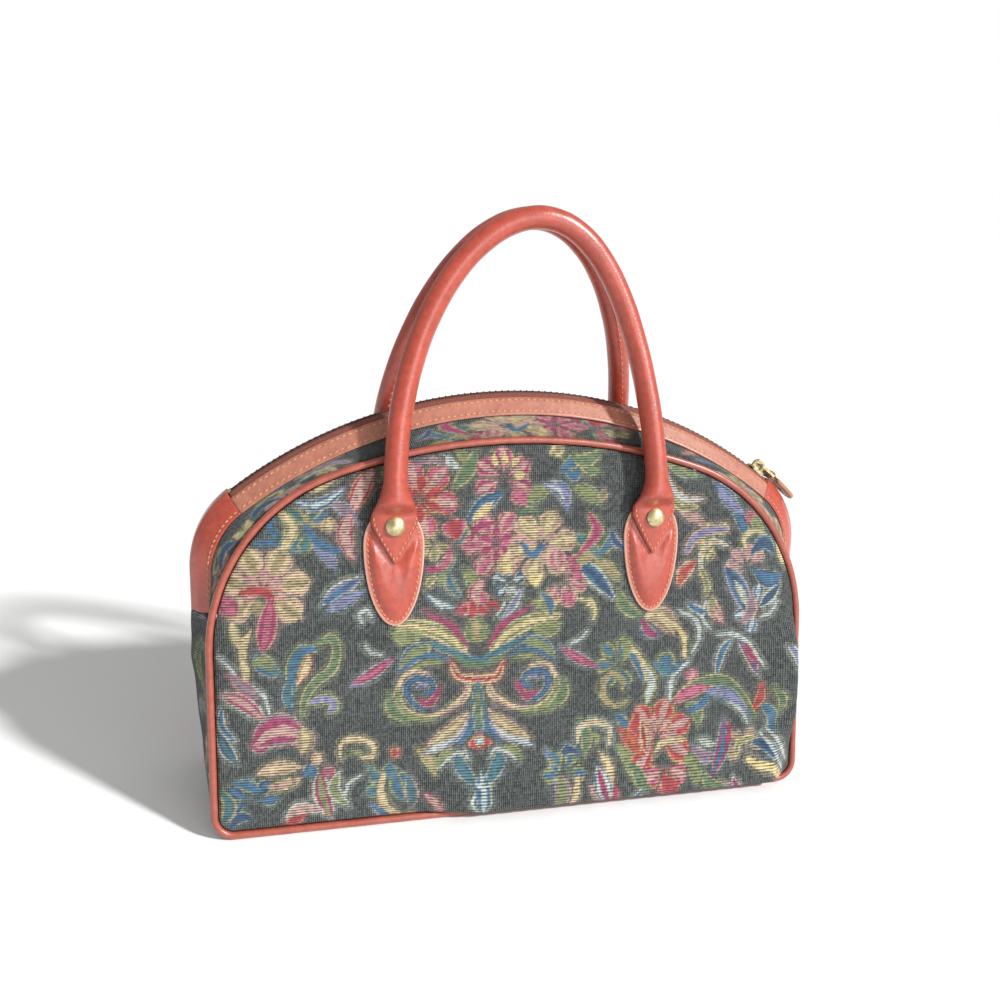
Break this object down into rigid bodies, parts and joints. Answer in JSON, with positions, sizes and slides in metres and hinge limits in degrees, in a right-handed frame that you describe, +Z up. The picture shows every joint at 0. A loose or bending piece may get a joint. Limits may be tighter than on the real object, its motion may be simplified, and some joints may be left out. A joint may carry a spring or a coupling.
{
  "type": "carpet bag handbag",
  "caption": "Dome-topped tapestry handbag with piped seams, an arched zip over the crown with slider and pull, and two rolled leather handles on riveted leaf tabs.",
  "frame": {"origin": "centre of the base, on the floor the bag stands on", "axes": "+X to the right as seen from the front, -Y towards the front, +Z up"},
  "size_m": [0.403, 0.1138, 0.372],
  "materials": {
    "tapestry": "ribbed woven tapestry with floral motifs in red, gold, green, blue and cream",
    "red_leather": "smooth terracotta leather, semi-gloss",
    "tan_leather": "smooth tan leather, satin",
    "zip_tape": "rust-brown woven tape",
    "zip_teeth": "dark brown moulded teeth",
    "antique_brass": "antique brass, polished by wear",
    "fibreboard": "grey-brown fibreboard, hidden inside"
  },
  "bodies": {
    "bag": {"front_panel": "tapestry", "back_panel": "tapestry", "left_gusset": "tapestry", "right_gusset": "tapestry", "base_panel": "tapestry", "base_board": "fibreboard", "front_piping": "red_leather", "back_piping": "red_leather", "front_zip_gusset": "tapestry", "back_zip_gusset": "tapestry", "front_zip_trim": "red_leather", "back_zip_trim": "red_leather", "front_zip_tape": "zip_tape", "back_zip_tape": "zip_tape", "front_zip_teeth": "zip_teeth", "back_zip_teeth": "zip_teeth", "zip_stops": "antique_brass", "left_zip_patch": "red_leather", "right_zip_patch": "red_leather", "front_left_tab": "red_leather", "front_right_tab": "red_leather", "back_left_tab": "red_leather", "back_right_tab": "red_leather", "front_left_foot": "red_leather", "front_right_foot": "red_leather", "back_left_foot": "red_leather", "back_right_foot": "red_leather", "rivets": "antique_brass"},
    "front_handle": {"front_handle": "red_leather"},
    "back_handle": {"back_handle": "red_leather"},
    "zip_slider": {"zip_slider": "antique_brass", "slider_plate": "antique_brass"},
    "zip_pull": {"pull_link": "antique_brass", "zip_pull": "tan_leather"}
  },
  "joints": [
    {"name": "front_handle_fold", "type": "hinge", "parent": "bag", "child": "front_handle", "pos_m": [0, -0.04094, 0.20105], "axis": [1, 0, 0], "range_deg": [0, 115]},
    {"name": "back_handle_fold", "type": "hinge", "parent": "bag", "child": "back_handle", "pos_m": [0, 0.04094, 0.20105], "axis": [-1, 0, 0], "range_deg": [0, 115]},
    {"name": "zip_run", "type": "hinge", "parent": "bag", "child": "zip_slider", "pos_m": [0, 0, -0.03088], "axis": [0, -1, 0], "range_deg": [0, 71.3]},
    {"name": "pull_turn", "type": "hinge", "parent": "zip_slider", "child": "zip_pull", "pos_m": [0.17316, 0, 0.20903], "axis": [0, -1, 0], "range_deg": [0, 150]}
  ]
}
